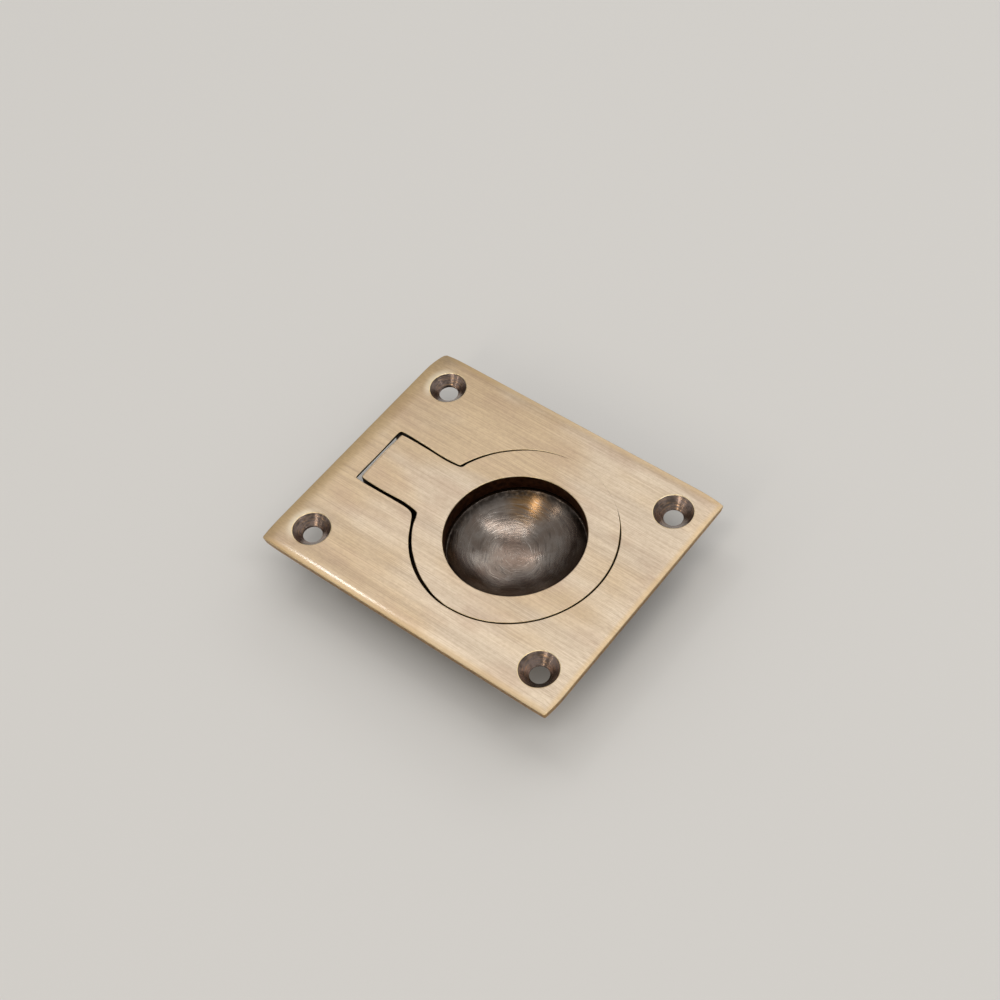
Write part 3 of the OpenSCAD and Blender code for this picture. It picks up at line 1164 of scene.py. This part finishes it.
    def window(self) -> Mesh:
        """Opening under the stem's end, through the underside and out past the cheeks."""
        half = self.pull.slot_w / 2
        outer = -self.pull.slot_end - self.cheek_past - CUT
        return block((outer, -half, -self.cheek_h - CUT), (self.pull.window_x, half, 0.0))

    def slot(self) -> Mesh:
        """Slot through the plate for the stem's end."""
        half = self.pull.slot_w / 2
        return block((-self.pull.slot_end, -half, -CUT), (self.pull.window_x, half, self.pull.ledge_z + LAP))

    def swing(self) -> Mesh:
        """Relief turned about the pin, so that the stem's end swings clear."""
        past = self.pull.stem_end + self.pull.pin_x
        radius = math.hypot(past, self.pull.face_z - self.pull.pin_z) + self.pull.swing_gap
        return self.pull.at_pin(radius, self.pull.slot_w, RELIEF_FACETS)

    def pin_hole(self) -> Mesh:
        """Hole for the pin, across both cheeks."""
        length = self.pull.slot_w + 2 * (self.pull.cheek_t + CUT)
        return self.pull.at_pin(self.pull.pin_d / 2, length, BORE_FACETS)

    def zone(self, spot: Vector, normal: Vector) -> Zone:
        """Pick a face's finish.

        Args:
            spot: The face's centre, in mm.
            normal: Its normal.

        Returns:
            The finish, from where the face lies and which way it looks.
        """
        pull = self.pull
        from_ring = math.hypot(spot.x - pull.ring_x, spot.y)
        in_ball = math.hypot(from_ring, spot.z - self.bowl_z) < self.bowl_r + 0.06
        if in_ball and spot.z < pull.ledge_z - 0.01 and from_ring < pull.finger_r:
            return Zone.CUP
        from_screw = math.hypot(abs(spot.x) - SCREWS[0] / 2, abs(spot.y) - SCREWS[1] / 2)
        if from_screw < self.shank_r + self.sink_reach and spot.z > -0.01 and normal.z > self.down:
            if normal.z > self.sink_level:
                return Zone.FACE
            return Zone.RUB if normal.z > self.sink_rubbed else Zone.SINK
        if spot.z > 1.0 and normal.z > self.rubbed:
            return Zone.FACE if normal.z > self.level else Zone.RUB
        edge = min(self.end - abs(spot.x), self.side - abs(spot.y))
        if spot.z > 0.1 and edge < self.wall_in[math.hypot(spot.x, spot.y) > self.corner_from]:
            return Zone.WALL
        # The pocket's walls and ledge, and the slot's faces, get the nearly black painted shade
        if pull.ledge_z - 0.3 < spot.z < pull.face_z and normal.z > self.down:
            return Zone.PAINTED_SHADE
        inner = abs(spot.y) < pull.slot_w / 2 + 0.02 and spot.x < pull.window_x + 0.5
        return Zone.PAINTED_SHADE if inner else Zone.CAST

    def build(self) -> Piece:
        """Model the casting, dress it and set it on its body.

        Returns:
            The finished piece.
        """
        piece = place(self.slab(), "plate_casting")
        work(piece, self.boss(), Solid.JOIN)
        work(piece, self.cheeks(), Solid.JOIN)
        for cutter in (
            self.pocket, self.bowl, self.window, self.slot, self.swing, self.pin_hole, self.countersinks,
            self.shank_holes,
        ):
            work(piece, cutter(), Solid.CUT_AWAY)
        dress(piece, (BrushedBrass(), PAINTED_SHADE, SinkBronze(), TurnedBronze(), CAST, WALL, RUBBED), self.zone)
        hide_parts("backplate")
        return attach(piece, "plate")


@dataclass
class RingHandle:
    """The flat ring with its stem and the knuckle that turns on the pin."""

    pull: RingPull
    draft: float = 9.0
    # The finger hole was bored a little off the ring's centre
    hole_at: Point = (6.62, -0.14)
    edge_r: float = 0.22
    grip_r: float = 1.1
    # The round part's ends, in degrees, and the chords over which its draft fades out there
    arc_ends: Point = (-153, 156)
    fade: int = 8
    # The knuckle is shorter than the stem is wide, and sits a little to one side of its middle
    knuckle_short: float = 0.3
    knuckle_y: float = 0.12
    # Upward parts of the normals that tell the face and its rubbed edges from the rest
    level: float = 0.9
    rubbed: float = 0.2
    finish: BrushedBrass = BrushedBrass(name="brushed_antique_brass_ring")

    def blank(self) -> Mesh:
        """Ring and stem, drafted round the ring, without the finger hole."""
        pull = self.pull
        rim = pull.pocket_arc(True, *self.arc_ends)
        outline = rim + glide(STEM_EDGE, pull.file_steps)
        shrink = pull.ring_t * math.tan(math.radians(self.draft))
        ends = [min(i, len(rim) - 1 - i) / self.fade for i in range(len(rim))]
        inward = [-shrink * min(t, 1.0) for t in ends] + [0.0] * (len(outline) - len(rim))
        return loft([(pull.face_z - pull.ring_t, spread(outline, inward)), *pull.rubbed(outline, -1)])

    def finger_hole(self) -> Mesh:
        """Hole through the ring, with a rounded upper edge and a rounder grip below."""
        top, radius = self.pull.face_z, self.pull.finger_r
        low = top - self.pull.ring_t
        profile = [(0.0, low - CUT), (radius + self.grip_r, low - CUT)]
        profile += arc((radius + self.grip_r, low + self.grip_r), self.grip_r, 270, 180, 8)
        profile += arc((radius + self.edge_r, top - self.edge_r), self.edge_r, 180, 90, 6)
        profile += [(radius + self.edge_r, top + CUT), (0.0, top + CUT)]
        return shift(lathe(profile, CUP_FACETS), x=self.hole_at[0], y=self.hole_at[1])

    def zone(self, spot: Vector, normal: Vector) -> RingZone:
        """Pick a face's finish.

        Args:
            spot: The face's centre, in mm.
            normal: Its normal.

        Returns:
            Brushed on top, rubbed at the edges, dark elsewhere.
        """
        # The ring's walls and underside get the painted shade, and the finger hole its own brown
        if spot.z < self.pull.face_z - self.edge_r - 0.02 or normal.z < self.rubbed:
            from_hole = math.hypot(spot.x - self.hole_at[0], spot.y - self.hole_at[1])
            return RingZone.BORE if from_hole < self.pull.finger_r + self.grip_r else RingZone.PAINTED_SHADE
        return RingZone.FACE if normal.z > self.level else RingZone.RUB

    def build(self) -> Piece:
        """Model the ring, dress it and set it on its body.

        Returns:
            The finished piece.
        """
        pull = self.pull
        piece = place(self.blank(), "ring_and_stem")
        radius, length = pull.bore_r + pull.knuckle_wall, pull.stem_w - self.knuckle_short
        work(piece, pull.at_pin(radius, length, ROD_FACETS, self.knuckle_y), Solid.JOIN)
        work(piece, self.finger_hole(), Solid.CUT_AWAY)
        work(piece, pull.at_pin(pull.bore_r, 2 * pull.stem_w, BORE_FACETS), Solid.CUT_AWAY)
        dress(piece, (self.finish, PAINTED_SHADE, RUBBED, BORE), self.zone)
        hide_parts("ring_handle")
        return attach(piece, "ring")


@dataclass
class PivotPin:
    """The plain pin that the stem turns on."""

    pull: RingPull
    chamfer: float = 0.25

    def build(self) -> Piece:
        """Model the pin, dress it and set it on its body.

        Returns:
            The finished piece.
        """
        bm = self.pull.at_pin(self.pull.pin_d / 2, self.pull.slot_w + 2 * self.pull.cheek_t, ROD_FACETS)
        rims = [edge for edge in bm.edges if edge.calc_face_angle() > SHARP]
        bevel(bm, rims, self.chamfer, 3)
        piece = place(bm, "hinge_pin")
        dress(piece, (ROD,), lambda spot, normal: 0)
        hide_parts("pivot_pin")
        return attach(piece, "plate")


@dataclass(frozen=True)
class SoftBox:
    """An area light that faces the object."""

    name: str
    # Direction from +X and height above the horizon, in degrees
    turn: Point
    # Its two sides, in metres
    size: Point
    # How bright its face is: white paper in full light is one
    radiance: float
    tone: str = "#FFFFFF"
    # Turn about its own middle, in degrees
    spin: float = 0.0
    # Distance from the origin, in metres
    away: float = 1.2

    def hang(self) -> None:
        """Put the light into the scene."""
        lamp = bpy.data.lights.new(self.name, "AREA")
        lamp.shape = "RECTANGLE"
        lamp.size, lamp.size_y = self.size
        lamp.energy = self.radiance * math.pi * self.size[0] * self.size[1]
        lamp.color = linear(self.tone)[:3]
        spot = heading(*self.turn)
        holder = bpy.data.objects.new(self.name, lamp)
        holder.location = spot * self.away
        faced = spot.to_track_quat("Z", "Y") @ Quaternion((0.0, 0.0, 1.0), math.radians(self.spin))
        holder.rotation_euler = faced.to_euler()
        bpy.context.scene.collection.objects.link(holder)


# A broad light overhead for the face, one behind for its back edge, a strip for the band in the
# cup, a small one for the streak by the hinge, and two warm lamps for the glints in the holes
LIGHTS = (
    SoftBox("ceiling", (116.5, 66.0), (1.2, 0.65), 1.07),
    SoftBox("back", (95.0, 36.0), (1.0, 0.35), 1.0),
    SoftBox("strip", (-21.5, 69.0), (1.35, 0.15), 6.0, spin=146.0),
    SoftBox("side", (162.0, 59.2), (0.05, 0.07), 26.0),
    SoftBox("lamp", (-86.0, 35.0), (0.13, 0.5), 5.5, "#FFF3E2"),
    SoftBox("lamp_left", (-119.0, 26.0), (0.1, 0.14), 6.0, "#FFF0DC"),
)


@dataclass
class Studio:
    """Floor, light and the photograph's camera."""

    pull: RingPull
    rest_z: float = -11.3
    floor_half_m: float = 4.0
    # Strength of the even white light from all round
    fill: float = 0.5
    # Point on the plate's face that the camera looks at, and where it looks from
    target_mm: Point = (-1.505, 5.175)
    distance_mm: float = 388.255
    azimuth: float = 45.639
    elevation: float = 53.244
    roll: float = -9.451
    lens_mm: float = 66.262
    sensor_mm: float = 36.0
    clip_m: float = 0.01

    def floor(self) -> None:
        """Lay a plain floor under the cup."""
        bm = bmesh.new()
        bmesh.ops.create_grid(bm, x_segments=1, y_segments=1, size=self.floor_half_m)
        piece = place(shift(bm, z=self.rest_z * MM), "floor")
        piece.data.materials.append(PaleFloor().material())

    def world(self) -> None:
        """Fill the room with even, pale light."""
        world = bpy.data.worlds.new("studio")
        world.use_nodes = True
        tree = world.node_tree
        tree.nodes.clear()
        ground = add(tree, "ShaderNodeBackground", None, {"Color": linear("#FFFFFF"), "Strength": self.fill})
        add(tree, "ShaderNodeOutputWorld", None, {"Surface": ground.outputs[0]})
        bpy.context.scene.world = world

    def camera(self) -> None:
        """Set the camera where the photograph was taken from."""
        data = bpy.data.cameras.new("camera")
        data.lens = self.lens_mm
        data.sensor_width = self.sensor_mm
        data.clip_start = self.clip_m
        holder = bpy.data.objects.new("camera", data)
        back = heading(self.azimuth - 90, self.elevation)
        target = Vector((*self.target_mm, self.pull.face_z)) * MM
        turn = back.to_track_quat("Z", "Y").to_matrix() @ Matrix.Rotation(math.radians(self.roll), 3, "Z")
        spot = target + back * self.distance_mm * MM
        holder.matrix_world = Matrix.LocRotScale(spot, turn.to_quaternion(), None)
        bpy.context.scene.collection.objects.link(holder)
        bpy.context.scene.camera = holder

    def build(self) -> None:
        """Set the whole studio."""
        self.floor()
        self.world()
        for light in LIGHTS:
            light.hang()
        self.camera()
        bpy.context.scene.view_settings.view_transform = "Standard"


def main() -> None:
    """Build every piece in order."""
    logging.basicConfig(level=logging.INFO, format="%(name)s: %(message)s")
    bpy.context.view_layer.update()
    pull = RingPull()
    Studio(pull).build()
    for part in (Backplate(pull), RingHandle(pull), PivotPin(pull)):
        piece = part.build()


if __name__ == "__main__":
    main()
